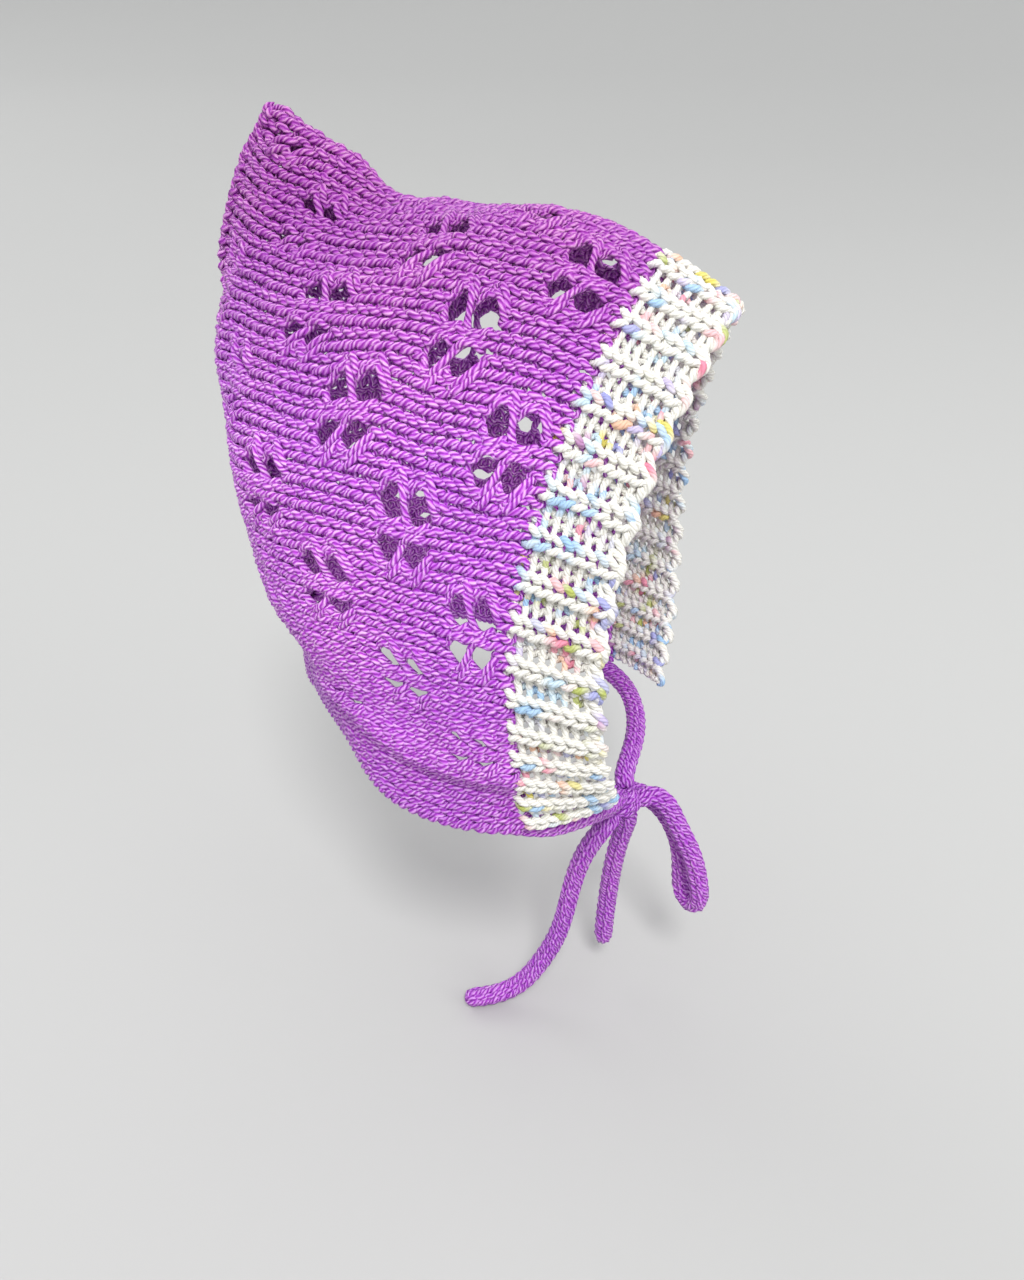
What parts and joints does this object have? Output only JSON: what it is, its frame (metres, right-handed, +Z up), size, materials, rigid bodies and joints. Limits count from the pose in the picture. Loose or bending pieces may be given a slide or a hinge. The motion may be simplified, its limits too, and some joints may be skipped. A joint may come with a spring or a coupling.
{
  "type": "pixie hat",
  "caption": "Knitted pixie bonnet with a pointed back peak, lace side panels, a ribbed brim round the face, a neckband and cord ties in a half bow.",
  "frame": {"origin": "the point inside the crown where a head bears on the hood", "axes": "+Z up, +Y towards the back of the head, the face opening towards -Y, the wearer's right at -X"},
  "size_m": [0.1198, 0.1536, 0.2778],
  "materials": {
    "purple_yarn": "plied yarn with a soft sheen, knitted",
    "speckled_yarn": "white plied yarn with short blue, green, pink and lilac dashes, knitted in rib"
  },
  "bodies": {
    "root": {"hood": "purple_yarn", "brim": "speckled_yarn", "neckband": "purple_yarn", "strap_right": "purple_yarn", "strap_left": "purple_yarn", "bow_knot": "purple_yarn", "bow_loop": "purple_yarn", "tail_long": "purple_yarn", "tail_short": "purple_yarn"}
  },
  "joints": []
}
